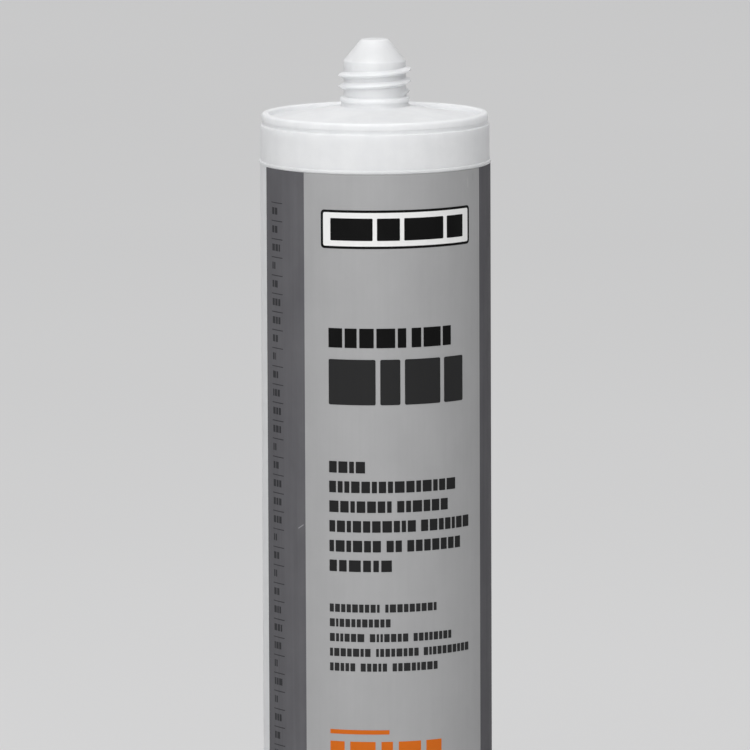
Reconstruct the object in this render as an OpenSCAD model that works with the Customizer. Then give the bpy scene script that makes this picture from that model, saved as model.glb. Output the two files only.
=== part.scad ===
// Sealant cartridge for a hand gun, standing on its open rear rim with the neck up.
// The neck's tip is still closed and no nozzle is fitted. The axis is Z, the origin is the
// middle of the rear rim, and the middle of the print's front faces -Y.

/* [Barrel] */
// Outside diameter of the bare barrel
barrel_d = 49.5; // [44:0.1:58]
// Wall of the barrel
barrel_wall = 1.45; // [1.2:0.05:2]
// Rear rim to the lower edge of the bead
barrel_len = 189.35; // [172:0.05:230]
// Chamfer inside the rear rim
rear_chamfer = 0.4; // [0.2:0.05:0.6]
// Rounding outside the rear rim
rear_round = 0.2; // [0.1:0.05:0.3]

/* [Collar] */
// How far the bead stands out of the barrel
bead_proud = 0.28; // [0.2:0.02:0.6]
// Height of the bead
bead_h = 0.7; // [0.5:0.05:1.5]
// How far the collar stands back from the barrel
collar_inset = 0.05; // [0.02:0.01:0.2]
// Lower edge of the bead to the middle of the groove
collar_h = 8.8; // [6:0.1:14]
// Depth of the groove in the collar
groove_depth = 0.5; // [0.2:0.05:0.7]
// Width of the groove
groove_w = 0.8; // [0.4:0.1:1.2]

/* [Rim] */
// How far the rim stands back from the collar
rim_inset = 0.3; // [0.1:0.05:0.5]
// Middle of the groove to the top of the rim
rim_h = 2.05; // [1.6:0.05:3]
// Width of the rim
rim_w = 1.75; // [1.3:0.05:2.5]
// Depth of the recess inside the rim
recess_depth = 1.15; // [0.6:0.05:1.4]
// Width of the recess floor
recess_w = 1.6; // [1:0.1:4]

/* [Shoulder] */
// Rise of the shoulder cone over the recess floor
shoulder_rise = 2.6; // [1.5:0.1:6]
// Wall of the shoulder
shoulder_wall = 1.55; // [1.2:0.05:2.2]
// Rounding between the barrel's bore and the shoulder's underside
bore_round = 1.2; // [0.5:0.1:2]

/* [Neck] */
// Diameter of the neck at the root of its thread
neck_d = 13.4; // [12:0.1:16]
// Wall of the neck
neck_wall = 1.5; // [1.2:0.05:2]
// Top of the shoulder cone to the start of the tip's cone
neck_len = 9.75; // [9.4:0.05:14]
// How far the neck's foot stands out of its root
foot_proud = 0.55; // [0.2:0.05:0.8]
// Rounding between the neck's foot and the shoulder
foot_round = 1.5; // [0.5:0.1:2.5]
// Top of the shoulder cone to the middle of the ring on the neck
ring_up = 1.45; // [1.1:0.05:1.8]
// How far the ring stands out of the neck's root
ring_proud = 0.85; // [0.7:0.05:1.1]
// Height of the ring
ring_h = 0.95; // [0.6:0.05:1.2]
// Diameter of the closed tip
tip_d = 5.8; // [4:0.1:8]
// Height of the tip's cone
tip_h = 4.6; // [3:0.1:8]
// Thickness of the closed tip
tip_wall = 1.4; // [1:0.1:2]

/* [Neck thread] */
// Rise in one turn
thread_pitch = 2.4; // [2.2:0.05:2.6]
// Height of the ridge over the root
thread_depth = 1.15; // [0.8:0.05:1.3]
// Width of the ridge at its root
thread_base = 1.45; // [1:0.05:1.6]
// Width of the ridge at its crest
thread_crest = 0.3; // [0.2:0.05:0.5]
// Turns of the ridge, with both ends
thread_turns = 2.4; // [2:0.05:2.6]
// Middle of the ring to the start of the ridge
thread_up = 1.3; // [1:0.05:1.5]
// Side of the neck where the ridge starts, in degrees from +X
thread_from = 320; // [0:5:355]
// Turn over which each end of the ridge rises from the neck, in degrees
thread_fade = 80; // [40:5:120]

/* [Piston] */
// Gap between the piston's lips and the bore
piston_fit = 0.05; // [0.02:0.01:0.1]
// Length of the skirt
piston_len = 12; // [9:0.5:18]
// Rear rim to the piston's rear edge
piston_in = 5; // [3:0.5:20]
// Thickness of the crown
crown_t = 1.4; // [1:0.1:2]
// Thickness of the skirt at its lips
skirt_t = 1.3; // [1:0.05:1.6]
// Height of each sealing lip
lip_h = 1.2; // [0.8:0.1:2]
// How far the skirt stands back between its lips
lip_relief = 0.35; // [0.2:0.05:0.5]
// Bevel between the crown and the front lip
crown_bevel = 0.9; // [0.5:0.1:1.5]
// Number of ribs under the crown
rib_n = 8; // [4:1:12]
// Thickness of the ribs and of their ring
rib_t = 1.1; // [0.8:0.1:1.6]
// Depth of the ribs under the crown's edge
rib_h = 3; // [1.5:0.5:5]
// Radius of the ring that the ribs meet
rib_ring_r = 8; // [6:0.5:12]

/* [Filling] */
// Gap left round the sealant inside the moulding
fill_gap = 0.1; // [0.05:0.05:0.2]
// Gap between the sealant and the piston's crown, and between crown and shoulder at the stop
crown_gap = 0.3; // [0.3:0.05:0.6]

/* [Print fields] */
// Thickness of the printed skin
ink_t = 0.15; // [0.12:0.01:0.2]
// Bead to the upper edge of the print
print_gap = 0.1; // [0.05:0.05:2]
// Height of the print's lower edge over the rear rim
print_bottom = 8; // [5:0.5:15]
// Left edge of the light front field, round the barrel from the front's middle
front_left = -16.4; // [-18:0.1:-14]
// Width of the light front field
front_w = 44; // [42:0.1:48]
// Width of each dark band beside it
band_w = 13.9; // [12:0.1:18]
// Width of the bare strip left of the dark bands
bare_w = 11.5; // [6:0.1:20]

/* [Print on the front] */
// Gap between the name panel's border and each side of the front field
panel_side = 4.3; // [2:0.1:8]
// Top of the print to the top of the name panel
panel_drop = 7.6; // [4:0.1:12]
// Height of the name panel, with its border
panel_h = 8.3; // [6:0.1:12]
// Height of the blocks in the panel
name_h = 4.8; // [3:0.1:6]
// Border of the panel to its first block, and from its last
name_side = 1.7; // [1:0.1:3]
// Width of the panel's border
border_w = 0.55; // [0.4:0.05:0.9]
// Rounding of the panel's corners
panel_round = 0.8; // [0.5:0.1:1.5]
// Left side of the front field to the start of every row of words
rows_side = 6; // [4:0.1:8]
// End of the widest row of words to the right side of the front field
rows_end = 4.7; // [3:0.1:8]
// Gap between two words
word_gap = 1.2; // [0.8:0.1:2]
// Top of the print to the title row
title_drop = 33; // [24:0.5:36]
// Height of the title row
title_h = 4.2; // [3:0.1:5]
// Top of the print to the row of large characters
number_drop = 39.7; // [38:0.1:44]
// Height of the large characters
number_h = 9.8; // [7:0.1:12]
// Gap between two large characters
number_gap = 1; // [0.6:0.1:1.6]
// Top of the print to the first row of text
text_drop = 61.7; // [58:0.1:66]
// Height of a row of text
text_h = 2.5; // [2:0.1:3]
// First edge of one row of text to the next
text_pitch = 4.27; // [3.6:0.01:4.6]
// Top of the print to the first row of small text
small_drop = 92.6; // [92:0.1:98]
// Height of a row of small text
small_h = 1.75; // [1.4:0.05:2.2]
// First edge of one row of small text to the next
small_pitch = 3.2; // [2.8:0.05:4]
// Top of the print to the coloured mark
mark_drop = 119.9; // [116:0.1:126]
// Width of the mark's bar
mark_w = 13; // [8:0.5:20]
// Height of the mark's bar
mark_h = 0.95; // [0.6:0.05:1.6]
// Width of the row of blocks under the bar
mark_long_w = 25; // [16:0.5:34]
// Height of the row of blocks
mark_long_h = 3.2; // [2:0.1:6]
// Gap between the bar and the row
mark_space = 1.6; // [1:0.1:3]

/* [Scale on the left band] */
// Left edge of the band to the scale's lines
scale_side = 2.8; // [1:0.1:5]
// Width of the scale's lines
scale_w = 4.4; // [3:0.1:8]
// Height of one line
scale_line = 0.18; // [0.15:0.01:0.4]
// One line to the next
scale_pitch = 3.93; // [3:0.01:8]
// Top of the print to the first line
scale_drop = 7.1; // [4:0.05:12]

/* [Hidden] */
$fn = 96;

white_plastic = [0.9, 0.91, 0.92];
piston_plastic = [0.86, 0.86, 0.83];
paste = [0.62, 0.62, 0.62];
light_ink = [0.67, 0.67, 0.67];
dark_ink = [0.33, 0.33, 0.35];
scale_ink = [0.24, 0.24, 0.25];
black_ink = [0.15, 0.15, 0.16];
panel_ink = [0.93, 0.93, 0.92];
mark_ink = [0.88, 0.42, 0.12];

// Widths of the plain blocks that stand where words and large characters are printed, as
// shares of the widest row, and in the panel and the mark as shares of their own width
name_blocks = [0.3, 0.16, 0.3, 0.15];
mark_blocks = [0.13, 0.22, 0.1, 0.2, 0.15];
title_words = [0.51, 0.29];
number_blocks = [0.31, 0.13, 0.25, 0.16];
text_words = [[0.24], [0.87], [0.41, 0.36], [0.57, 0.39], [0.34, 0.1, 0.4], [0.41]];
small_words = [[0.33, 0.35], [0.4], [0.23, 0.25, 0.28], [0.27, 0.28, 0.37], [0.17, 0.17, 0.31]];

barrel_r = barrel_d / 2;
bore_r = barrel_r - barrel_wall;
bead_r = barrel_r + bead_proud;
collar_r = barrel_r - collar_inset;
groove_r = collar_r - groove_depth;
rim_r = collar_r - rim_inset;
rim_in_r = rim_r - rim_w;
shoulder_r = rim_in_r - recess_w;
neck_r = neck_d / 2;
neck_bore_r = neck_r - neck_wall;
foot_r = neck_r + foot_proud;
ring_r = neck_r + ring_proud;
tip_r = tip_d / 2;
tip_bore_r = tip_r * neck_bore_r / neck_r;

bead_z = barrel_len;
groove_z = bead_z + collar_h;
rim_z = groove_z + rim_h;
recess_z = rim_z - recess_depth;
foot_z = recess_z + shoulder_rise;
ring_z = foot_z + ring_up;
cone_z = foot_z + neck_len;
tip_z = cone_z + tip_h;

// Height of the shoulder's underside, and of the piston's crown, at a radius
shoulder_slope = shoulder_rise / (shoulder_r - foot_r);
function underside(r) = recess_z - shoulder_wall + (shoulder_r - r) * shoulder_slope;
lip_r = bore_r - piston_fit;
crown_r = lip_r - crown_bevel;
crown_z = piston_in + piston_len;
function crown(r) = crown_z + (crown_r - r) * shoulder_slope;
nose_r = neck_bore_r;

print_r = barrel_r + ink_t;
print_top = barrel_len - print_gap;
print_h = print_top - print_bottom;
panel_left = front_left + panel_side;
panel_w = front_w - 2 * panel_side;
rows_left = front_left + rows_side;
rows_w = front_w - rows_side - rows_end;
name_left = panel_left + border_w + name_side;
name_w = panel_w - 2 * (border_w + name_side);
name_gap = name_w * rest_of(name_blocks);
name_drop = panel_drop + (panel_h - name_h) / 2;
mark_gap = mark_long_w * rest_of(mark_blocks);
scale_left = front_left - band_w + scale_side;
scale_n = floor((print_h - scale_drop - scale_line) / scale_pitch) + 1;

// Edge between two short arcs of a ridge end, and the depth that joins one form to another
thread_step = 9;
thread_sunk = 0.5;
weld = 0.3;

// Corner b between a and c as an arc of radius r, held to what its shorter side can take
function arc_corner(a, b, c, r, n = 5) =
    let (to_a = (a - b) / norm(a - b), to_c = (c - b) / norm(c - b),
         half = acos(to_a * to_c) / 2,
         back = min(r / tan(half), 0.45 * norm(a - b), 0.45 * norm(c - b)),
         mid = b + (to_a + to_c) / norm(to_a + to_c) * back / cos(half),
         start = b + to_a * back - mid,
         side = to_a.x * to_c.y - to_a.y * to_c.x > 0 ? -1 : 1,
         sweep = side * (180 - 2 * half))
    [for (i = [0:n]) let (t = sweep * i / n)
        mid + [start.x * cos(t) - start.y * sin(t), start.x * sin(t) + start.y * cos(t)]];

// Outline through [x, y, rounding] points, with an arc at each corner that has a rounding
function rounded(points) =
    [for (i = [0:len(points) - 1])
        let (n = len(points), p = points[i], before = points[(i + n - 1) % n],
             after = points[(i + 1) % n])
        each p.z == 0 ? [[p.x, p.y]]
            : arc_corner([before.x, before.y], [p.x, p.y], [after.x, after.y], p.z)];

module turned(points) {
    rotate_extrude() polygon(rounded(points));
}

// One station of the ridge: an open V that sinks into the neck at both ends
function ridge(turn_a, up, rise) =
    let (inner = neck_r - thread_sunk, outer = neck_r + thread_depth * rise)
    [for (p = [[inner, -thread_base / 2], [outer, -thread_crest / 2],
               [outer, thread_crest / 2], [inner, thread_base / 2]])
        [p.x * cos(turn_a), p.x * sin(turn_a), up + p.y]];

module neck_thread() {
    whole = 360 * thread_turns;
    n = ceil(whole / thread_step);
    low = -0.25;
    stations = [for (i = [0:n]) let (a = whole * i / n, end = min(a, whole - a) / thread_fade)
        ridge(thread_from + a, ring_z + thread_up + thread_pitch * a / 360,
              low + (1 - low) * sin(90 * min(1, end)))];
    sides = [for (i = [0:n - 1], j = [0:3])
        let (a = 4 * i + j, b = 4 * i + (j + 1) % 4)
        each [[a, b, b + 4], [a, b + 4, a + 4]]];
    caps = [[3, 2, 1, 0], [4 * n, 4 * n + 1, 4 * n + 2, 4 * n + 3]];
    polyhedron([for (s = stations) each s], concat(sides, caps));
}

module cartridge() {
    color(white_plastic) union() {
        turned([
            [0, tip_z, 0], [tip_r, tip_z, 0.35], [neck_r, cone_z, 0.3],
            [neck_r, ring_z + ring_h / 2, 0.25], [ring_r, ring_z + ring_h / 2, 0.4],
            [ring_r, ring_z - ring_h / 2, 0.3], [foot_r, ring_z - ring_h / 2, 0.15],
            [foot_r, foot_z, foot_round], [shoulder_r, recess_z, 1],
            [rim_in_r, recess_z, 0.4], [rim_in_r, rim_z, 0.5], [rim_r, rim_z, 0.6],
            [rim_r, groove_z + groove_w / 2, 0.15], [groove_r, groove_z + groove_w / 2, 0.15],
            [groove_r, groove_z - groove_w / 2, 0.2], [collar_r, groove_z - groove_w / 2, 0.35],
            [collar_r, bead_z + bead_h, 0.15], [bead_r, bead_z + bead_h, 0.25],
            [bead_r, bead_z, 0.15], [barrel_r, bead_z, 0], [barrel_r, 0, rear_round],
            [bore_r + rear_chamfer, 0, 0], [bore_r, 2 * rear_chamfer, 0],
            [bore_r, underside(bore_r), bore_round], [neck_bore_r, underside(neck_bore_r), 1],
            [neck_bore_r, cone_z, 0], [tip_bore_r, tip_z - tip_wall, 0], [0, tip_z - tip_wall, 0]
        ]);
        neck_thread();
    }
}

module piston_cup() {
    front = crown_z - crown_bevel;
    step = lip_relief;
    inner_r = lip_r - skirt_t;
    turned([
        [0, crown(nose_r), 0], [nose_r, crown(nose_r), 1], [crown_r, crown_z, 0.4],
        [lip_r, front, 0.15], [lip_r, front - lip_h, 0.15],
        [lip_r - step, front - lip_h - step, 0.2], [lip_r - step, piston_in + lip_h + step, 0.2],
        [lip_r, piston_in + lip_h, 0.15], [lip_r, piston_in + step, 0.15],
        [lip_r - step, piston_in, 0.15], [inner_r, piston_in, 0.2],
        [inner_r, crown(inner_r) - crown_t, 0.8], [nose_r, crown(nose_r) - crown_t, 0],
        [0, crown(nose_r) - crown_t, 0]
    ]);
}

module piston() {
    outer = lip_r - skirt_t + weld;
    low = crown_z - crown_t - rib_h;
    color(piston_plastic) union() {
        piston_cup();
        for (i = [0:rib_n - 1])
            rotate([90, 0, 360 / rib_n * i]) translate([0, 0, -rib_t / 2]) linear_extrude(rib_t)
                polygon([[rib_ring_r, low], [outer, low], [outer, crown(outer) - crown_t + weld],
                         [rib_ring_r, crown(rib_ring_r) - crown_t + weld]]);
        rotate_extrude() translate([rib_ring_r - rib_t / 2, low])
            square([rib_t, crown(rib_ring_r) - crown_t + weld - low]);
    }
}

// The paste from the piston's crown to the closed tip
module sealant() {
    side_r = bore_r - fill_gap;
    neck_fill_r = neck_bore_r - fill_gap;
    color(paste) turned([
        [0, crown(nose_r) + crown_gap, 0], [nose_r, crown(nose_r) + crown_gap, 0],
        [crown_r, crown_z + crown_gap, 0], [side_r, crown_z + crown_gap, 0],
        [side_r, underside(bore_r) - fill_gap, bore_round],
        [neck_fill_r, underside(neck_bore_r) - fill_gap, 1],
        [neck_fill_r, cone_z - fill_gap, 0], [tip_bore_r - fill_gap, tip_z - tip_wall - fill_gap, 0],
        [0, tip_z - tip_wall - fill_gap, 0]
    ]);
}

function arc_angle(arc) = arc / print_r * 180 / PI;

// A field of the printed skin. Its left edge and width run round the barrel from the front's
// middle, its drop runs down from the top of the print, and extra makes it a cutter.
module field(left, w, drop, h, extra = 0) {
    rotate([0, 0, arc_angle(left) - 90]) rotate_extrude(angle = arc_angle(w))
        translate([barrel_r - extra, print_top - drop - h]) square([ink_t + 2 * extra, h]);
}

// The same with rounded corners, for a field that lies within the front half
module rounded_field(left, w, drop, h, corner, extra = 0) {
    outline = rounded([[left, -drop, corner], [left, -drop - h, corner],
                       [left + w, -drop - h, corner], [left + w, -drop, corner]]);
    intersection() {
        rotate_extrude() translate([barrel_r - extra, print_bottom])
            square([ink_t + 2 * extra, print_h]);
        translate([0, 0, print_top]) rotate([90, 0, 0]) linear_extrude(barrel_d)
            polygon([for (p = outline) [print_r * sin(arc_angle(p.x)), p.y]]);
    }
}

function sum_before(v, i) = i == 0 ? 0 : v[i - 1] + sum_before(v, i - 1);

// What the shares of a row leave free, for each gap between its blocks
function rest_of(v) = (1 - sum_before(v, len(v))) / (len(v) - 1);

module row(words, drop, h, gap, extra, left = rows_left, w = rows_w) {
    for (i = [0:len(words) - 1])
        field(left + sum_before(words, i) * w + gap * i, words[i] * w, drop, h, extra);
}

module name_row(extra = 0) {
    row(name_blocks, name_drop, name_h, name_gap, extra, name_left, name_w);
}

module rows(extra = 0) {
    row(title_words, title_drop, title_h, word_gap, extra);
    row(number_blocks, number_drop, number_h, number_gap, extra);
    for (i = [0:len(text_words) - 1])
        row(text_words[i], text_drop + text_pitch * i, text_h, word_gap, extra);
    for (i = [0:len(small_words) - 1])
        row(small_words[i], small_drop + small_pitch * i, small_h, word_gap, extra);
}

module mark(extra = 0) {
    field(rows_left, mark_w, mark_drop, mark_h, extra);
    row(mark_blocks, mark_drop + mark_h + mark_space, mark_long_h, mark_gap, extra,
        w = mark_long_w);
}

module lines(extra = 0) {
    for (i = [0:scale_n - 1])
        field(scale_left, scale_w, scale_drop + scale_pitch * i, scale_line, extra);
}

module panel(inset = 0, extra = 0) {
    rounded_field(panel_left + inset, panel_w - 2 * inset, panel_drop + inset,
                  panel_h - 2 * inset, panel_round - inset * 0.6, extra);
}

module light_field() {
    right_band_end = front_left + front_w + band_w;
    around = 2 * PI * print_r;
    color(light_ink) {
        difference() {
            field(front_left, front_w, 0, print_h);
            panel(extra = 1);
            rows(extra = 1);
            mark(extra = 1);
        }
        field(right_band_end, around - bare_w - front_w - 2 * band_w, 0, print_h);
    }
}

module dark_bands() {
    color(dark_ink) {
        difference() {
            field(front_left - band_w, band_w, 0, print_h);
            lines(extra = 1);
        }
        field(front_left + front_w, band_w, 0, print_h);
    }
}

module name_panel() {
    color(panel_ink) difference() {
        panel(inset = border_w);
        name_row(extra = 1);
    }
}

module panel_border() {
    color(black_ink) difference() {
        panel();
        panel(inset = border_w, extra = 1);
    }
}

module print_rows() {
    color(black_ink) {
        name_row();
        rows();
    }
}

module scale_lines() {
    color(scale_ink) lines();
}

module colour_mark() {
    color(mark_ink) mark();
}

cartridge();
piston();
sealant();
light_field();
dark_bands();
name_panel();
panel_border();
print_rows();
scale_lines();
colour_mark();
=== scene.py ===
import math
import random

import bmesh
import bpy
from mathutils import Matrix, Vector


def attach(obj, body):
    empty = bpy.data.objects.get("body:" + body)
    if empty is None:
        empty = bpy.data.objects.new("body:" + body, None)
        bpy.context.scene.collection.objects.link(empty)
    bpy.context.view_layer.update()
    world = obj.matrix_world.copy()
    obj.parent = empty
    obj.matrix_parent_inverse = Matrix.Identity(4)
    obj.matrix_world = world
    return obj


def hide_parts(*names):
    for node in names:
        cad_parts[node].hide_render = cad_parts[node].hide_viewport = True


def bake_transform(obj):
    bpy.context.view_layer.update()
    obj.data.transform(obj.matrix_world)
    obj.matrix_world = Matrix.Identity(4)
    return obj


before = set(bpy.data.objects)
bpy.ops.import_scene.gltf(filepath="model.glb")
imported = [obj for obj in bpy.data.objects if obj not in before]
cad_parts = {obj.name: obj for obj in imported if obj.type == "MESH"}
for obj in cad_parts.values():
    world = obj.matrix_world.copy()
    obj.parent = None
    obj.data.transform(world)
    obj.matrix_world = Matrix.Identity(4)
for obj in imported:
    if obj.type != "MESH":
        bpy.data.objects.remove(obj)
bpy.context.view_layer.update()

mm = 0.001
print("frame loaded,", len(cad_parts), "nodes")

# camera at the photo's viewing angle, looking down a little, and turned a hair on its own axis

camera = {
    "place": (-0.0002, -1.895, 0.3945),
    "lookDown": 7.56,
    "turn": -0.24,
    "lens": 424.0,
    "sensor": 36.0,
    "nearest": 0.05,
    "farthest": 60,
}


def placeCamera():
    data = bpy.data.cameras.new("camera")
    data.lens = camera["lens"]
    data.sensor_width = camera["sensor"]
    data.clip_start = camera["nearest"]
    data.clip_end = camera["farthest"]
    piece = bpy.data.objects.new("camera", data)
    bpy.context.scene.collection.objects.link(piece)
    aim = Matrix.Rotation(math.radians(90 - camera["lookDown"]), 4, "X")
    turn = Matrix.Rotation(math.radians(camera["turn"]), 4, "Z")
    piece.matrix_world = Matrix.Translation(camera["place"]) @ aim @ turn
    bpy.context.scene.camera = piece


placeCamera()
print("camera placed")


# small steps used on every piece

def pickOnly(*pieces):
    if bpy.context.object and bpy.context.object.mode != "OBJECT":
        bpy.ops.object.mode_set(mode="OBJECT")
    bpy.ops.object.select_all(action="DESELECT")
    for piece in pieces:
        piece.select_set(True)
    bpy.context.view_layer.objects.active = pieces[0]


def intoEdit(piece):
    pickOnly(piece)
    bpy.ops.object.mode_set(mode="EDIT")
    bpy.ops.mesh.select_mode(type="VERT")
    bpy.ops.mesh.select_all(action="DESELECT")


def outOfEdit():
    bpy.ops.object.mode_set(mode="OBJECT")


def selectVerts(piece, test):
    mesh = bmesh.from_edit_mesh(piece.data)
    for vert in mesh.verts:
        vert.select_set(test(vert.co))
    mesh.select_flush_mode()
    bmesh.update_edit_mesh(piece.data)


def applyAll(piece):
    pickOnly(piece)
    for modifier in list(piece.modifiers):
        bpy.ops.object.modifier_apply(modifier=modifier.name)


merging = 0.0005 * mm       # vertices closer than this become one
nearEnough = 0.002 * mm     # a vertex this close to a place is taken to be there


def tidyMesh(piece, sharpFrom=35):
    # doubles merged, faces outwards, soft shading with the real corners kept crisp
    intoEdit(piece)
    bpy.ops.mesh.select_all(action="SELECT")
    bpy.ops.mesh.remove_doubles(threshold=merging)
    bpy.ops.mesh.normals_make_consistent(inside=False)
    outOfEdit()
    bpy.ops.object.shade_smooth_by_angle(angle=math.radians(sharpFrom))


def dress(piece, finish, body, nodes):
    piece.data.materials.clear()
    piece.data.materials.append(finish)
    if body:
        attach(piece, body)
    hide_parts(*nodes)


# turned pieces: a wire profile is drawn by extruding one vertex from corner to corner, its corners
# are rounded by a vertex bevel, and the wire is spun round the axis

def near(point):
    return lambda co: (co - point).length < nearEnough


def drawProfile(name, corners, closed):
    points = [Vector((r * mm, 0, z * mm)) for r, z, rounding in corners]
    bpy.ops.object.select_all(action="DESELECT")
    bpy.ops.mesh.primitive_plane_add(size=mm)
    profile = bpy.context.object
    profile.name = name
    profile.data.name = name
    intoEdit(profile)
    bpy.ops.mesh.select_all(action="SELECT")
    bpy.ops.mesh.merge(type="CENTER")
    bpy.ops.transform.translate(value=points[0])
    for before, after in zip(points, points[1:]):
        bpy.ops.mesh.extrude_region_move(TRANSFORM_OT_translate={"value": after - before})
    if closed:
        selectVerts(profile, lambda co: near(points[0])(co) or near(points[-1])(co))
        bpy.ops.mesh.edge_face_add()
    return profile, points


sideShare = 0.45    # a rounding takes no more than this share of the sides beside it


def roundCorners(profile, corners, points, segments):
    count = len(corners)
    for i, (r, z, rounding) in enumerate(corners):
        if not rounding:
            continue
        toBefore = points[i - 1] - points[i]
        toAfter = points[(i + 1) % count] - points[i]
        half = toBefore.angle(toAfter) / 2
        back = rounding * mm / math.tan(half)
        back = min(back, sideShare * toBefore.length, sideShare * toAfter.length)
        selectVerts(profile, near(points[i]))
        bpy.ops.mesh.bevel(offset=back, segments=segments, profile=0.5, affect="VERTICES")


def spinRound(steps):
    bpy.ops.mesh.select_all(action="SELECT")
    bpy.ops.mesh.spin(steps=steps, angle=2 * math.pi, center=(0, 0, 0), axis=(0, 0, 1))
    outOfEdit()


def turnPiece(name, corners, steps, segments=4, closed=True, shapeWire=None):
    profile, points = drawProfile(name, corners, closed)
    roundCorners(profile, corners, points, segments)
    if shapeWire:
        shapeWire(profile)
    spinRound(steps)
    tidyMesh(profile)
    return profile


# finishes

def startFinish(name):
    finish = bpy.data.materials.new(name)
    finish.use_nodes = True
    tree = finish.node_tree
    shader = tree.nodes["Principled BSDF"]
    place = tree.nodes.new("ShaderNodeTexCoord").outputs["Object"]
    return finish, tree, shader, place


def noiseOn(tree, place, stretch, scale, detail=4.0, roughness=0.5):
    mapping = tree.nodes.new("ShaderNodeMapping")
    mapping.inputs["Scale"].default_value = stretch
    noise = tree.nodes.new("ShaderNodeTexNoise")
    noise.inputs["Scale"].default_value = scale
    noise.inputs["Detail"].default_value = detail
    noise.inputs["Roughness"].default_value = roughness
    tree.links.new(place, mapping.inputs["Vector"])
    tree.links.new(mapping.outputs["Vector"], noise.inputs["Vector"])
    return noise.outputs["Fac"]


def rampOn(tree, value, low, high, start=0.3, end=0.7):
    ramp = tree.nodes.new("ShaderNodeValToRGB")
    ramp.color_ramp.elements[0].position = start
    ramp.color_ramp.elements[1].position = end
    ramp.color_ramp.elements[0].color = (*low, 1)
    ramp.color_ramp.elements[1].color = (*high, 1)
    tree.links.new(value, ramp.inputs["Fac"])
    return ramp.outputs["Color"]


def spanOn(tree, value, low, high, start=0.3, end=0.7):
    span = tree.nodes.new("ShaderNodeMapRange")
    span.inputs["From Min"].default_value = start
    span.inputs["From Max"].default_value = end
    span.inputs["To Min"].default_value = low
    span.inputs["To Max"].default_value = high
    tree.links.new(value, span.inputs["Value"])
    return span.outputs["Result"]


def blendColours(tree, factor, first, second, how="MIX"):
    mix = tree.nodes.new("ShaderNodeMix")
    mix.data_type = "RGBA"
    mix.blend_type = how
    for socket, value in (("Factor", factor), ("A", first), ("B", second)):
        found = [s for s in mix.inputs if s.name == socket and s.enabled][0]
        if isinstance(value, (float, int)):
            found.default_value = value
        elif isinstance(value, tuple):
            found.default_value = (*value, 1)
        else:
            tree.links.new(value, found)
    return [s for s in mix.outputs if s.enabled][0]


def mathOn(tree, operation, first, second=None, third=None):
    step = tree.nodes.new("ShaderNodeMath")
    step.operation = operation
    for socket, value in zip(step.inputs, (first, second, third)):
        if isinstance(value, (float, int)):
            socket.default_value = value
        elif value is not None:
            tree.links.new(value, socket)
    return step.outputs["Value"]


def splitPlace(tree, place):
    # x and y in metres, and the height in millimetres
    split = tree.nodes.new("ShaderNodeSeparateXYZ")
    tree.links.new(place, split.inputs["Vector"])
    height = mathOn(tree, "MULTIPLY", split.outputs["Z"], 1 / mm)
    return split.outputs["X"], split.outputs["Y"], height


printR = 24.9       # widths round the barrel are measured on this radius
fadeFrom = 0.6      # a stroke fades out from this share of its half length


def strokeOn(tree, place, stroke):
    # 1 along a short stroke on the barrel, fading to 0 beside it and at its ends; the stroke's ends
    # are arcs from the front's middle and heights, in millimetres
    x, y, height = splitPlace(tree, place)
    angle = mathOn(tree, "ARCTAN2", x, mathOn(tree, "MULTIPLY", y, -1.0))
    arc = mathOn(tree, "MULTIPLY", angle, printR)
    start, end = Vector(stroke["start"]), Vector(stroke["end"])
    along, middle = (end - start).normalized(), (start + end) / 2
    right = mathOn(tree, "SUBTRACT", arc, middle.x)
    up = mathOn(tree, "SUBTRACT", height, middle.y)
    down = mathOn(tree, "MULTIPLY_ADD", right, along.x, mathOn(tree, "MULTIPLY", up, along.y))
    aside = mathOn(tree, "MULTIPLY_ADD", right, -along.y, mathOn(tree, "MULTIPLY", up, along.x))
    half = (end - start).length / 2
    inside = spanOn(tree, mathOn(tree, "ABSOLUTE", down), 1, 0, fadeFrom * half, half)
    beside = spanOn(tree, mathOn(tree, "ABSOLUTE", aside), 1, 0, 0, stroke["half"])
    return mathOn(tree, "MULTIPLY", mathOn(tree, "MULTIPLY", inside, beside), stroke["depth"])


def zoneOn(tree, place, zone):
    # 1 between two heights, in millimetres, and 0 above and below
    height = splitPlace(tree, place)[2]
    middle = (zone["low"] + zone["high"]) / 2
    return mathOn(tree, "COMPARE", height, middle, (zone["high"] - zone["low"]) / 2)


def bumpOn(tree, shader, height, strength, depth):
    # the depth is in millimetres
    bump = tree.nodes.new("ShaderNodeBump")
    bump.inputs["Strength"].default_value = strength
    bump.inputs["Distance"].default_value = depth * mm
    tree.links.new(height, bump.inputs["Height"])
    tree.links.new(bump.outputs["Normal"], shader.inputs["Normal"])


whitePlastic = {
    "deep": (0.785, 0.795, 0.805), "pale": (0.845, 0.855, 0.862), "streak": (0.975, 0.975, 0.98),
    "smooth": 0.44, "dull": 0.56,
    "refraction": 1.51, "glow": 0.65, "glowReach": 4.0, "glowTint": (1.0, 1.0, 1.0),
    "clouds": {"stretch": (1, 1, 1), "scale": 140, "detail": 5, "roughness": 0.6},
    "streaks": {"stretch": (1, 1, 0.12), "scale": 420, "detail": 3},
    "wear": {"stretch": (1, 1, 1), "scale": 260, "detail": 6, "roughness": 0.65},
    "grain": {"stretch": (1, 1, 0.6), "scale": 1800, "detail": 3},
    "grainStrength": 0.12, "grainDepth": 0.02,
}


def glowThrough(shader, plastic):
    shader.inputs["IOR"].default_value = plastic["refraction"]
    shader.inputs["Subsurface Weight"].default_value = plastic["glow"]
    shader.inputs["Subsurface Radius"].default_value = plastic["glowTint"]
    shader.inputs["Subsurface Scale"].default_value = plastic["glowReach"] * mm


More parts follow.
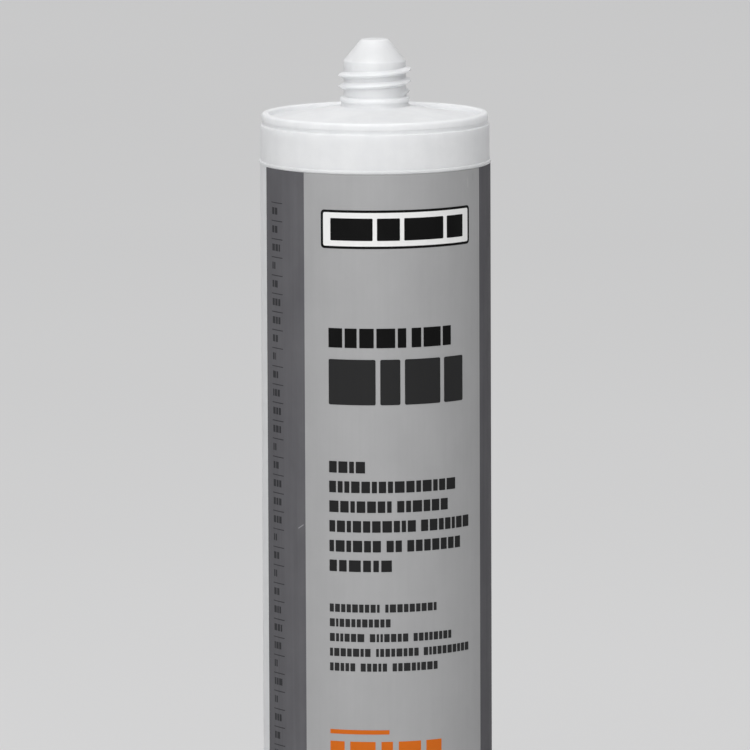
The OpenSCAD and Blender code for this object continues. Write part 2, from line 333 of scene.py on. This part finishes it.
def whitePlasticFinish():
    w = whitePlastic
    finish, tree, shader, place = startFinish("satinPolyethylene")
    clouds = rampOn(tree, noiseOn(tree, place, **w["clouds"]), w["deep"], w["pale"])
    streaks = rampOn(tree, noiseOn(tree, place, **w["streaks"]), w["streak"], (1, 1, 1))
    colour = blendColours(tree, 1.0, clouds, streaks, "MULTIPLY")
    tree.links.new(colour, shader.inputs["Base Color"])
    wear = noiseOn(tree, place, **w["wear"])
    tree.links.new(spanOn(tree, wear, w["smooth"], w["dull"]), shader.inputs["Roughness"])
    glowThrough(shader, w)
    bumpOn(tree, shader, noiseOn(tree, place, **w["grain"]), w["grainStrength"], w["grainDepth"])
    return finish


pistonPlastic = {
    "deep": (0.70, 0.70, 0.665), "pale": (0.78, 0.78, 0.745), "smooth": 0.42, "dull": 0.56,
    "refraction": 1.51, "glow": 0.25, "glowReach": 2.0, "glowTint": (1.0, 1.0, 0.9),
    "clouds": {"stretch": (1, 1, 1), "scale": 180, "detail": 5, "roughness": 0.6},
    "grain": {"stretch": (1, 1, 1), "scale": 1500, "detail": 3},
    "grainStrength": 0.15, "grainDepth": 0.02,
}


def pistonPlasticFinish():
    p = pistonPlastic
    finish, tree, shader, place = startFinish("naturalPolyethylene")
    clouds = noiseOn(tree, place, **p["clouds"])
    tree.links.new(rampOn(tree, clouds, p["deep"], p["pale"]), shader.inputs["Base Color"])
    tree.links.new(spanOn(tree, clouds, p["smooth"], p["dull"]), shader.inputs["Roughness"])
    glowThrough(shader, p)
    bumpOn(tree, shader, noiseOn(tree, place, **p["grain"]), p["grainStrength"], p["grainDepth"])
    return finish


paste = {
    "deep": (0.30, 0.30, 0.31), "pale": (0.36, 0.36, 0.365), "smooth": 0.28, "dull": 0.4,
    "clouds": {"stretch": (1, 1, 0.4), "scale": 90},
    "waves": {"stretch": (1, 1, 1), "scale": 300, "detail": 2},
    "wavesStrength": 0.2, "wavesDepth": 0.1,
}


def pasteFinish():
    p = paste
    finish, tree, shader, place = startFinish("sealantPaste")
    clouds = noiseOn(tree, place, **p["clouds"])
    tree.links.new(rampOn(tree, clouds, p["deep"], p["pale"]), shader.inputs["Base Color"])
    tree.links.new(spanOn(tree, clouds, p["smooth"], p["dull"]), shader.inputs["Roughness"])
    bumpOn(tree, shader, noiseOn(tree, place, **p["waves"]), p["wavesStrength"], p["wavesDepth"])
    return finish


# one light scratch on the left band, faint smudges at the field's right, and a painted highlight: a
# pale line down the field's right edge
strokes = {
    "band": [
        {"start": (-18.6, 112.2), "end": (-16.8, 113.3), "half": 0.16, "depth": 0.75,
         "colour": (0.40, 0.40, 0.42)},
    ],
    "field": [
        {"start": (22.8, 187.8), "end": (23.0, 185.2), "half": 0.3, "depth": 0.22,
         "colour": (0.62, 0.61, 0.58)},
        {"start": (24.9, 188.4), "end": (24.9, 186.6), "half": 0.25, "depth": 0.25,
         "colour": (0.24, 0.24, 0.23)},
        # painted highlight: a pale line down the field's right edge, beside the right band
        {"start": (27.25, 189.4), "end": (27.25, 172.0), "half": 0.22, "depth": 0.3,
         "colour": (0.62, 0.61, 0.64)},
    ],
}

# the large row and the two groups of small rows are printed in softer blacks than the others
softerRows = [
    {"low": 139.4, "high": 149.9, "colour": (0.024, 0.024, 0.0245)},
    {"low": 103.0, "high": 128.0, "colour": (0.019, 0.019, 0.0195)},
    {"low": 81.0, "high": 97.5, "colour": (0.027, 0.027, 0.0275)},
]

plainInk = {
    "metal": 0.0, "streak": 0.97, "strokes": (), "zones": (),
    "clouds": {"stretch": (1, 1, 0.7), "scale": 120, "detail": 5, "roughness": 0.6},
    "streaks": {"stretch": (1, 1, 0.02), "scale": 900, "detail": 3, "roughness": 0.6},
    "scuffs": {"stretch": (1, 1, 0.3), "scale": 500, "detail": 6, "roughness": 0.7},
    "smoother": 0.05, "duller": 0.07,
    "grain": {"stretch": (1, 1, 0.5), "scale": 2200, "detail": 2},
    "grainStrength": 0.08, "grainDepth": 0.01,
}
inks = {
    "lightInk": {
        "name": "lightGreyInk", "deep": (0.378, 0.378, 0.381), "pale": (0.403, 0.403, 0.406),
        "roughness": 0.42, "metal": 0.15, "shine": 0.2, "strokes": strokes["field"],
    },
    "darkInk": {
        "name": "darkGreyInk", "deep": (0.120, 0.118, 0.127), "pale": (0.140, 0.138, 0.147),
        "roughness": 0.5, "shine": 0.01, "streak": 0.9, "strokes": strokes["band"],
    },
    "blackInk": {
        "name": "nearBlackInk", "deep": (0.004, 0.004, 0.004), "pale": (0.006, 0.006, 0.006),
        "roughness": 0.5, "shine": 0.06, "zones": softerRows,
    },
    "scaleInk": {
        "name": "scaleInk", "deep": (0.034, 0.034, 0.037), "pale": (0.044, 0.044, 0.047),
        "roughness": 0.5, "shine": 0.05,
    },
    "panelInk": {
        "name": "whiteInk", "deep": (0.82, 0.82, 0.81), "pale": (0.86, 0.86, 0.85),
        "roughness": 0.45, "shine": 0.3,
    },
    "markInk": {
        "name": "orangeInk", "deep": (0.59, 0.125, 0.005), "pale": (0.64, 0.14, 0.007),
        "roughness": 0.42, "shine": 0.2,
    },
}


def inkFinish(values):
    # printed film: clouds of slightly uneven ink, fine streaks down the barrel, small scuffs
    ink = {**plainInk, **values}
    finish, tree, shader, place = startFinish(ink["name"])
    colour = rampOn(tree, noiseOn(tree, place, **ink["clouds"]), ink["deep"], ink["pale"])
    for zone in ink["zones"]:
        colour = blendColours(tree, zoneOn(tree, place, zone), colour, zone["colour"])
    streaks = rampOn(tree, noiseOn(tree, place, **ink["streaks"]), (ink["streak"],) * 3, (1, 1, 1))
    colour = blendColours(tree, 1.0, colour, streaks, "MULTIPLY")
    for stroke in ink["strokes"]:
        colour = blendColours(tree, strokeOn(tree, place, stroke), colour, stroke["colour"])
    tree.links.new(colour, shader.inputs["Base Color"])
    gloss = spanOn(tree, noiseOn(tree, place, **ink["scuffs"]),
                   ink["roughness"] - ink["smoother"], ink["roughness"] + ink["duller"])
    tree.links.new(gloss, shader.inputs["Roughness"])
    shader.inputs["Metallic"].default_value = ink["metal"]
    shader.inputs["Specular IOR Level"].default_value = ink["shine"]
    grain = noiseOn(tree, place, **ink["grain"])
    bumpOn(tree, shader, grain, ink["grainStrength"], ink["grainDepth"])
    return finish


finishes = {
    "whitePlastic": whitePlasticFinish(),
    "pistonPlastic": pistonPlasticFinish(),
    "paste": pasteFinish(),
}
for inkName, inkValues in inks.items():
    finishes[inkName] = inkFinish(inkValues)
print("finishes made")

# the white moulding: barrel, bead, collar, groove, rim, shoulder, neck and closed tip in one

moulding = {
    "barrelR": 24.75, "boreR": 23.3, "rearChamfer": 0.4,
    "beadR": 25.0, "beadZ": 189.35, "beadTop": 190.05,
    "collarR": 24.7, "grooveR": 24.2, "grooveLow": 197.75, "grooveTop": 198.55,
    "rimR": 24.4, "rimInR": 22.65, "rimZ": 200.2, "recessZ": 199.05, "shoulderR": 21.05,
    "footR": 7.25, "footZ": 201.65, "underR": 5.2, "wallUnder": 1.55,
    "ringR": 7.55, "ringLow": 202.625, "ringTop": 203.575, "ringMid": 203.1,
    "neckR": 6.7, "coneZ": 211.4, "tipR": 2.9, "tipZ": 216.0, "tipWall": 1.4, "tipBoreR": 2.25,
    "steps": 192,
}
softCorners = {
    "tip": 0.35, "cone": 0.3, "neck": 0.25, "ringTop": 0.4, "ringLow": 0.3, "ringFoot": 0.15,
    "foot": 1.5, "shoulder": 1.0, "recess": 0.4, "rimIn": 0.5, "rimOut": 0.6, "groove": 0.15,
    "grooveLow": 0.2, "collar": 0.35, "beadIn": 0.15, "beadTop": 0.25, "beadLow": 0.15,
    "rear": 0.2, "bore": 1.2, "under": 1.0,
}
thread = {
    "pitch": 2.4, "depth": 1.15, "base": 1.45, "crest": 0.3, "turns": 2.4,
    "up": 1.3, "from": 320.0, "fade": 80.0, "sunk": -0.25, "rings": 110, "shortOfCone": 0.05,
}


def shoulderSlope():
    m = moulding
    return (m["footZ"] - m["recessZ"]) / (m["shoulderR"] - m["footR"])


def underside(r):
    m = moulding
    return m["recessZ"] - m["wallUnder"] + (m["shoulderR"] - r) * shoulderSlope()


def mouldingCorners():
    m, soft = moulding, softCorners
    return [
        (0, m["tipZ"], 0), (m["tipR"], m["tipZ"], soft["tip"]),
        (m["neckR"], m["coneZ"], soft["cone"]), (m["neckR"], m["ringTop"], soft["neck"]),
        (m["ringR"], m["ringTop"], soft["ringTop"]), (m["ringR"], m["ringLow"], soft["ringLow"]),
        (m["footR"], m["ringLow"], soft["ringFoot"]), (m["footR"], m["footZ"], soft["foot"]),
        (m["shoulderR"], m["recessZ"], soft["shoulder"]),
        (m["rimInR"], m["recessZ"], soft["recess"]), (m["rimInR"], m["rimZ"], soft["rimIn"]),
        (m["rimR"], m["rimZ"], soft["rimOut"]), (m["rimR"], m["grooveTop"], soft["groove"]),
        (m["grooveR"], m["grooveTop"], soft["groove"]),
        (m["grooveR"], m["grooveLow"], soft["grooveLow"]),
        (m["collarR"], m["grooveLow"], soft["collar"]), (m["collarR"], m["beadTop"], soft["beadIn"]),
        (m["beadR"], m["beadTop"], soft["beadTop"]), (m["beadR"], m["beadZ"], soft["beadLow"]),
        (m["barrelR"], m["beadZ"], 0), (m["barrelR"], 0, soft["rear"]),
        (m["boreR"] + m["rearChamfer"], 0, 0), (m["boreR"], 2 * m["rearChamfer"], 0),
        (m["boreR"], underside(m["boreR"]), soft["bore"]),
        (m["underR"], underside(m["underR"]), soft["under"]), (m["underR"], m["coneZ"], 0),
        (m["tipBoreR"], m["tipZ"] - m["tipWall"], 0), (0, m["tipZ"] - m["tipWall"], 0),
    ]


def cutNeckFinely(profile):
    # the neck's straight side gets many short edges, so that the thread can rise from it
    m = moulding

    def onNeckSide(co):
        atNeck = abs(co.x - m["neckR"] * mm) < nearEnough
        return atNeck and m["ringTop"] * mm < co.z < m["coneZ"] * mm

    selectVerts(profile, onNeckSide)
    bpy.ops.mesh.subdivide(number_cuts=thread["rings"])


def ridgeShare(x, y, z):
    # how far the thread's ridge has risen at a place on the neck, from 0 to 1
    m, t = moulding, thread
    whole = 360 * t["turns"]
    turned = (math.degrees(math.atan2(y, x)) - t["from"]) % 360
    best = 0.0
    while turned <= whole:
        middle = m["ringMid"] + t["up"] + t["pitch"] * turned / 360
        swell = math.sin(math.radians(90 * min(1, min(turned, whole - turned) / t["fade"])))
        rise = max(0, t["sunk"] + (1 - t["sunk"]) * swell)
        flank = (t["base"] / 2 - abs(z / mm - middle)) / ((t["base"] - t["crest"]) / 2)
        best = max(best, rise * min(1, max(0, flank)))
        turned += 360
    return best


def raiseThread(piece):
    m = moulding
    ridge = piece.vertex_groups.new(name="ridge")
    highest = (m["coneZ"] - thread["shortOfCone"]) * mm
    for vert in piece.data.vertices:
        x, y, z = vert.co
        onNeck = abs(math.hypot(x, y) - m["neckR"] * mm) < nearEnough
        if onNeck and m["ringTop"] * mm < z < highest:
            share = ridgeShare(x, y, z)
            if share > 0:
                ridge.add([vert.index], share, "REPLACE")
    raised = piece.modifiers.new("raiseRidge", "DISPLACE")
    raised.vertex_group = "ridge"
    raised.mid_level = 0
    raised.strength = thread["depth"] * mm
    applyAll(piece)
    piece.vertex_groups.clear()


def makeMoulding():
    piece = turnPiece("mouldedCartridge", mouldingCorners(), moulding["steps"], closed=False,
                      shapeWire=cutNeckFinely)
    raiseThread(piece)
    dress(piece, finishes["whitePlastic"], "barrel", ["cartridge"])


makeMoulding()
print("moulding made")

# the piston: a cup with two sealing lips, and ribs under its crown

piston = {
    "lipR": 23.25, "crownR": 22.35, "noseR": 5.2, "crownZ": 17.0, "rearZ": 5.0,
    "lipH": 1.2, "relief": 0.35, "skirt": 1.3, "crown": 1.4, "bevel": 0.9,
    "ribs": 8, "ribT": 1.1, "ribH": 3.0, "ribRingR": 8.0, "weld": 0.3,
    "noseRound": 1.0, "crownRound": 0.4, "lipRound": 0.15, "waistRound": 0.2, "rearRound": 0.2,
    "innerRound": 0.8, "ringRound": 0.1, "steps": 128, "ringSteps": 64,
}


def crownAt(r):
    # the crown is as steep as the shoulder that it meets
    return piston["crownZ"] + (piston["crownR"] - r) * shoulderSlope()


def pistonCorners():
    p = piston
    lip, nose, waist = p["lipR"], p["noseR"], p["lipR"] - p["relief"]
    front = p["crownZ"] - p["bevel"]
    inner = lip - p["skirt"]
    return [
        (0, crownAt(nose), 0), (nose, crownAt(nose), p["noseRound"]),
        (p["crownR"], p["crownZ"], p["crownRound"]),
        (lip, front, p["lipRound"]), (lip, front - p["lipH"], p["lipRound"]),
        (waist, front - p["lipH"] - p["relief"], p["waistRound"]),
        (waist, p["rearZ"] + p["lipH"] + p["relief"], p["waistRound"]),
        (lip, p["rearZ"] + p["lipH"], p["lipRound"]),
        (lip, p["rearZ"] + p["relief"], p["lipRound"]), (waist, p["rearZ"], p["lipRound"]),
        (inner, p["rearZ"], p["rearRound"]),
        (inner, crownAt(inner) - p["crown"], p["innerRound"]),
        (nose, crownAt(nose) - p["crown"], 0), (0, crownAt(nose) - p["crown"], 0),
    ]


def makeRibs():
    # one rib is a plate from the ring to the skirt; it is copied round, and the ring is spun
    p = piston
    low = p["crownZ"] - p["crown"] - p["ribH"]
    outer = p["lipR"] - p["skirt"] + p["weld"]
    inner = p["ribRingR"]
    topIn = crownAt(inner) - p["crown"] + p["weld"]
    topOut = crownAt(outer) - p["crown"] + p["weld"]
    bpy.ops.object.select_all(action="DESELECT")
    bpy.ops.mesh.primitive_cube_add(size=1)
    rib = bpy.context.object
    rib.name = "pistonRibs"
    intoEdit(rib)
    for vert in bmesh.from_edit_mesh(rib.data).verts:
        x = outer if vert.co.x > 0 else inner
        top = topOut if vert.co.x > 0 else topIn
        vert.co = (x * mm, math.copysign(p["ribT"] / 2, vert.co.y) * mm,
                   (top if vert.co.z > 0 else low) * mm)
    bmesh.update_edit_mesh(rib.data)
    bpy.ops.mesh.select_all(action="SELECT")
    for i in range(1, p["ribs"]):
        bpy.ops.mesh.duplicate()
        bpy.ops.transform.rotate(value=2 * math.pi / p["ribs"], orient_axis="Z",
                                 center_override=(0, 0, 0))
    outOfEdit()
    half = p["ribT"] / 2
    ringCorners = [
        (inner + half, low, p["ringRound"]), (inner + half, topIn, 0),
        (inner - half, topIn, 0), (inner - half, low, p["ringRound"]),
    ]
    return rib, turnPiece("ribRing", ringCorners, p["ringSteps"], segments=2)


def unite(piece, *others):
    for other in others:
        cut = piece.modifiers.new("unite", "BOOLEAN")
        cut.operation = "UNION"
        cut.solver = "EXACT"
        cut.object = other
    applyAll(piece)
    for other in others:
        bpy.data.objects.remove(other)


def makePiston():
    cup = turnPiece("ribbedPiston", pistonCorners(), piston["steps"], closed=False)
    unite(cup, *makeRibs())
    tidyMesh(cup)
    dress(cup, finishes["pistonPlastic"], "piston", ["piston"])


makePiston()
print("piston made")

# the paste between piston and tip

filling = {"gap": 0.1, "crownGap": 0.3, "steps": 96, "bendFrom": 21.0, "bendTo": 195.0}


def makeFilling():
    m, p, f = moulding, piston, filling
    side = m["boreR"] - f["gap"]
    neckR = m["underR"] - f["gap"]
    rear = p["crownZ"] + f["crownGap"]
    corners = [
        (0, crownAt(p["noseR"]) + f["crownGap"], 0),
        (p["noseR"], crownAt(p["noseR"]) + f["crownGap"], 0), (p["crownR"], rear, 0),
        (side, rear, 0), (side, underside(m["boreR"]) - f["gap"], softCorners["bore"]),
        (neckR, underside(m["underR"]) - f["gap"], softCorners["under"]),
        (neckR, m["coneZ"] - f["gap"], 0),
        (m["tipBoreR"] - f["gap"], m["tipZ"] - m["tipWall"] - f["gap"], 0),
        (0, m["tipZ"] - m["tipWall"] - f["gap"], 0),
    ]
    piece = turnPiece("sealantPaste", corners, f["steps"], closed=False)
    dress(piece, finishes["paste"], None, ["sealant"])
    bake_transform(piece)


makeFilling()
print("paste made")

# print: the artwork is laid out flat, in millimetres round the barrel from the front's middle
# and down from the print's top edge, then thickened and rolled round the barrel

artwork = {
    "skin": 0.15, "proud": 0.02, "top": 189.25, "bottom": 8.0, "cut": 0.815, "cornerSteps": 6,
    "frontLeft": -16.4, "frontW": 44.0, "bandW": 13.9, "bareW": 11.5,
    "panelSide": 4.3, "panelDrop": 7.6, "panelH": 8.3, "border": 0.55,
    "panelRound": 0.8, "panelInRound": 0.47,
    "rowsSide": 6.0, "rowsEnd": 4.7, "rowsOver": 1.0, "groupGap": 1.2,
    "rowsRound": 0.12, "rowsRoundShare": 0.06, "rowsSeed": 7,
}
panelLeft = artwork["frontLeft"] + artwork["panelSide"]
panelW = artwork["frontW"] - 2 * artwork["panelSide"]
rowsLeft = artwork["frontLeft"] + artwork["rowsSide"]
rowsW = artwork["frontW"] - artwork["rowsSide"] - artwork["rowsEnd"]
printH = artwork["top"] - artwork["bottom"]
bandsLeft = artwork["frontLeft"] - artwork["bandW"]

# a row is its drop, its height, the mean width of its blocks, the gap between them, and the widths
# of its groups of blocks as shares of the widest row
rows = [
    (33.0, 4.2, 2.75, 0.55, [0.51, 0.29]),
    (61.7, 2.5, 1.62, 0.38, [0.24]),
    (65.97, 2.5, 1.62, 0.38, [0.87]),
    (70.24, 2.5, 1.62, 0.38, [0.41, 0.36]),
    (74.51, 2.5, 1.62, 0.38, [0.57, 0.39]),
    (78.78, 2.5, 1.62, 0.38, [0.34, 0.1, 0.4]),
    (83.05, 2.5, 1.9, 0.5, [0.41]),
    (92.6, 1.75, 1.0, 0.28, [0.33, 0.35]),
    (95.8, 1.75, 1.0, 0.28, [0.4]),
    (99.0, 1.75, 1.0, 0.28, [0.23, 0.25, 0.28]),
    (102.2, 1.75, 1.0, 0.28, [0.27, 0.28, 0.37]),
    (105.4, 1.75, 1.0, 0.28, [0.17, 0.17, 0.31]),
]
panelRow = {"h": 4.8, "side": 1.7, "corner": 0.2, "blocks": [0.3, 0.16, 0.3, 0.15]}
largeRow = {"drop": 39.7, "h": 9.8, "gap": 1.0, "corner": 0.35, "blocks": [0.31, 0.13, 0.25, 0.16]}
blockShares = [0.6, 0.85, 1.0, 1.0, 1.15, 1.3]      # of the mean width, drawn for each block


def startSheet(name):
    bpy.ops.object.select_all(action="DESELECT")
    bpy.ops.mesh.primitive_plane_add(size=mm)
    sheet = bpy.context.object
    sheet.name = name
    sheet.data.name = name
    intoEdit(sheet)
    bpy.ops.mesh.select_all(action="SELECT")
    bpy.ops.mesh.delete(type="VERT")
    return sheet


def layPatch(left, width, drop, height, corner=0.0):
    # a flat patch facing -Y, with its corners rounded
    middle = ((left + width / 2) * mm, 0, (artwork["top"] - drop - height / 2) * mm)
    bpy.ops.mesh.select_all(action="DESELECT")
    bpy.ops.mesh.primitive_plane_add(size=1, location=middle, rotation=(math.pi / 2, 0, 0))
    bpy.ops.transform.resize(value=(width * mm, 1, height * mm), center_override=middle)
    if corner:
        bpy.ops.mesh.bevel(offset=corner * mm, segments=artwork["cornerSteps"], affect="VERTICES")


def rollRound(sheet, thickness, width, left):
    # thickens the flat sheet outwards, cuts it at even steps and rolls it round the barrel
    a = artwork
    bpy.ops.mesh.select_all(action="SELECT")
    bpy.ops.mesh.extrude_region_move(TRANSFORM_OT_translate={"value": (0, -thickness * mm, 0)})
    bpy.ops.mesh.select_all(action="SELECT")
    bpy.ops.mesh.normals_make_consistent(inside=False)
    for i in range(math.ceil(left / a["cut"]), math.floor((left + width) / a["cut"]) + 1):
        bpy.ops.mesh.select_all(action="SELECT")
        bpy.ops.mesh.bisect(plane_co=(i * a["cut"] * mm, 0, 0), plane_no=(1, 0, 0))
    mesh = bmesh.from_edit_mesh(sheet.data)
    for vert in mesh.verts:
        angle = vert.co.x / (printR * mm)
        r = moulding["barrelR"] * mm - vert.co.y
        vert.co = (r * math.sin(angle), -r * math.cos(angle), vert.co.z)
    bmesh.update_edit_mesh(sheet.data)
    outOfEdit()
    tidyMesh(sheet, sharpFrom=30)


def makeFields():
    a = artwork
    around = 2 * math.pi * printR
    sheet = startSheet("lightPrintField")
    layPatch(a["frontLeft"], a["frontW"], 0, printH)
    bandsRight = a["frontLeft"] + a["frontW"] + a["bandW"]
    backW = around - a["bareW"] - a["frontW"] - 2 * a["bandW"]
    layPatch(bandsRight, backW, 0, printH)
    rollRound(sheet, a["skin"], bandsRight + backW - a["frontLeft"], a["frontLeft"])
    dress(sheet, finishes["lightInk"], "barrel", ["light_field"])

    sheet = startSheet("darkPrintBands")
    layPatch(bandsLeft, a["bandW"], 0, printH)
    layPatch(a["frontLeft"] + a["frontW"], a["bandW"], 0, printH)
    rollRound(sheet, a["skin"], bandsRight - bandsLeft, bandsLeft)
    dress(sheet, finishes["darkInk"], "barrel", ["dark_bands"])


def makePanel():
    a = artwork
    over = a["skin"] + a["proud"]
    sheet = startSheet("panelBorder")
    layPatch(panelLeft, panelW, a["panelDrop"], a["panelH"], a["panelRound"])
    bpy.ops.mesh.select_all(action="SELECT")
    bpy.ops.mesh.inset(thickness=a["border"] * mm, depth=0)
    bpy.ops.mesh.delete(type="FACE")
    rollRound(sheet, over, panelW, panelLeft)
    dress(sheet, finishes["blackInk"], "barrel", ["panel_border"])

    sheet = startSheet("namePanel")
    inset = a["border"]
    layPatch(panelLeft + inset, panelW - 2 * inset, a["panelDrop"] + inset,
             a["panelH"] - 2 * inset, a["panelInRound"])
    rollRound(sheet, over, panelW, panelLeft)
    dress(sheet, finishes["panelInk"], "barrel", ["name_panel"])


def blockWidths(group, mean, gap, draw):
    # splits a group into uneven blocks that fill it exactly
    count = max(1, round((group + gap) / (mean + gap)))
    parts = [draw.choice(blockShares) for i in range(count)]
    room = group - gap * (count - 1)
    return [room * part / sum(parts) for part in parts]


def layRow(left, width, drop, height, shares, corner):
    # plain blocks over the whole width, as shares of it, with what is left as even gaps
    gap = width * (1 - sum(shares)) / (len(shares) - 1)
    for share in shares:
        layPatch(left, share * width, drop, height, corner)
        left += share * width + gap


def makeRows():
    a = artwork
    draw = random.Random(a["rowsSeed"])
    sheet = startSheet("printRows")
    for drop, height, mean, gap, groups in rows:
        corner = min(a["rowsRound"], height * a["rowsRoundShare"])
        left = rowsLeft
        for share in groups:
            for width in blockWidths(share * rowsW, mean, gap, draw):
                layPatch(left, width, drop, height, corner)
                left += width + gap
            left += a["groupGap"] - gap
    side = a["border"] + panelRow["side"]
    drop = a["panelDrop"] + (a["panelH"] - panelRow["h"]) / 2
    layRow(panelLeft + side, panelW - 2 * side, drop, panelRow["h"], panelRow["blocks"],
           panelRow["corner"])
    left = rowsLeft
    for share in largeRow["blocks"]:
        layPatch(left, share * rowsW, largeRow["drop"], largeRow["h"], largeRow["corner"])
        left += share * rowsW + largeRow["gap"]
    rollRound(sheet, a["skin"] + 2 * a["proud"], rowsW + a["rowsOver"], rowsLeft)
    dress(sheet, finishes["blackInk"], "barrel", ["print_rows"])


# the scale on the left band: a line at each step, with a few small blocks under it
scaleMarks = {
    "side": 2.8, "w": 4.4, "line": 0.18, "pitch": 3.93, "drop": 7.1,
    "blocksSide": 0.3, "blocksDrop": 1.15, "blocksH": 1.5, "blocksW": [1.3, 2.2, 2.8, 3.2],
    "blockMean": 0.75, "blockGap": 0.3, "blockCorner": 0.08, "seed": 3,
}


def makeScale():
    marks = scaleMarks
    draw = random.Random(marks["seed"])
    sheet = startSheet("scaleLines")
    linesLeft = bandsLeft + marks["side"]
    count = int((printH - marks["drop"] - marks["line"]) / marks["pitch"]) + 1
    for i in range(count):
        drop = marks["drop"] + i * marks["pitch"]
        layPatch(linesLeft, marks["w"], drop, marks["line"])
        if i < count - 1:
            left = linesLeft + marks["blocksSide"]
            group = draw.choice(marks["blocksW"])
            for width in blockWidths(group, marks["blockMean"], marks["blockGap"], draw):
                layPatch(left, width, drop + marks["blocksDrop"], marks["blocksH"],
                         marks["blockCorner"])
                left += width + marks["blockGap"]
    rollRound(sheet, artwork["skin"] + artwork["proud"], marks["w"], linesLeft)
    dress(sheet, finishes["scaleInk"], "barrel", ["scale_lines"])


# orange print at the lower edge: a thin bar over a row of taller blocks
colourMark = {
    "drop": 119.9, "barW": 13.0, "barH": 0.95, "space": 1.6, "w": 25.0, "h": 3.2, "corner": 0.1,
    "blocks": [0.13, 0.22, 0.1, 0.2, 0.15],
}


def makeMark():
    mark = colourMark
    sheet = startSheet("colourMark")
    layPatch(rowsLeft, mark["barW"], mark["drop"], mark["barH"], mark["corner"])
    layRow(rowsLeft, mark["w"], mark["drop"] + mark["barH"] + mark["space"], mark["h"],
           mark["blocks"], mark["corner"])
    rollRound(sheet, artwork["skin"] + artwork["proud"], mark["w"], rowsLeft)
    dress(sheet, finishes["markInk"], "barrel", ["colour_mark"])


makeFields()
print("print fields made")
makePanel()
makeRows()
makeScale()
makeMark()
print("print made")

# floor and light

studio = {
    "floorSize": 18.0, "floorLow": (0.58, 0.58, 0.58), "floorHigh": (0.60, 0.60, 0.60),
    "floorClouds": {"stretch": (1, 1, 1), "scale": 1.5, "detail": 3},
    "floorRoughness": 0.8, "floorShine": 0.0,
    "floorGlow": 0.17, "sky": (0.42, 0.42, 0.425), "backdrop": (0.56, 0.56, 0.57),
    "aim": (0, 0, 0.12),
    "lamps": {
        "key": {"place": (-0.45, -1.35, 1.25), "size": (0.9, 0.9), "power": 11.0},
        "front": {"place": (-0.28, -3.1, 1.6), "size": (2.2, 1.1), "power": 27.5},
        "top": {"place": (-0.1, -0.6, 1.7), "size": (1.0, 1.0), "power": 5.4},
        "backLeft": {"place": (-1.1, 3.0, 2.4), "size": (1.4, 1.2), "power": 11.0},
        "backRight": {"place": (1.1, 3.0, 2.4), "size": (1.4, 1.2), "power": 11.0},
    },
}


def seenRays(tree):
    # 1 for rays from the camera, a reflection or clear matter, so that the backdrop is pale there
    # and the object gets no more light from it
    path = tree.nodes.new("ShaderNodeLightPath")
    seen = path.outputs["Is Camera Ray"]
    for name in ("Is Glossy Ray", "Is Transmission Ray"):
        seen = mathOn(tree, "MAXIMUM", seen, path.outputs[name])
    return seen


def makeFloor():
    bpy.ops.object.select_all(action="DESELECT")
    bpy.ops.mesh.primitive_plane_add(size=studio["floorSize"])
    floor = bpy.context.object
    floor.name = "floor"
    finish, tree, shader, place = startFinish("paleFloor")
    clouds = noiseOn(tree, place, **studio["floorClouds"])
    tree.links.new(rampOn(tree, clouds, studio["floorLow"], studio["floorHigh"]),
                   shader.inputs["Base Color"])
    shader.inputs["Roughness"].default_value = studio["floorRoughness"]
    shader.inputs["Specular IOR Level"].default_value = studio["floorShine"]
    shader.inputs["Emission Color"].default_value = (1, 1, 1, 1)
    tree.links.new(spanOn(tree, seenRays(tree), 0, studio["floorGlow"], start=0, end=1),
                   shader.inputs["Emission Strength"])
    floor.data.materials.append(finish)


def makeLamp(name, place, size, power):
    data = bpy.data.lights.new(name, "AREA")
    data.shape = "RECTANGLE"
    data.size, data.size_y = size
    data.energy = power
    lamp = bpy.data.objects.new(name, data)
    bpy.context.scene.collection.objects.link(lamp)
    lamp.visible_camera = False
    aim = Vector(studio["aim"]) - Vector(place)
    lamp.matrix_world = (Matrix.Translation(place)
                         @ aim.to_track_quat("-Z", "Y").to_matrix().to_4x4())


def makeLight():
    world = bpy.data.worlds.new("paleRoom")
    world.use_nodes = True
    tree = world.node_tree
    background = tree.nodes["Background"]
    background.inputs["Strength"].default_value = 1
    tree.links.new(blendColours(tree, seenRays(tree), studio["sky"], studio["backdrop"]),
                   background.inputs["Color"])
    bpy.context.scene.world = world
    for name, lamp in studio["lamps"].items():
        makeLamp(name, lamp["place"], lamp["size"], lamp["power"])
    bpy.context.scene.view_settings.view_transform = "Standard"


makeFloor()
makeLight()
print("floor and light made")
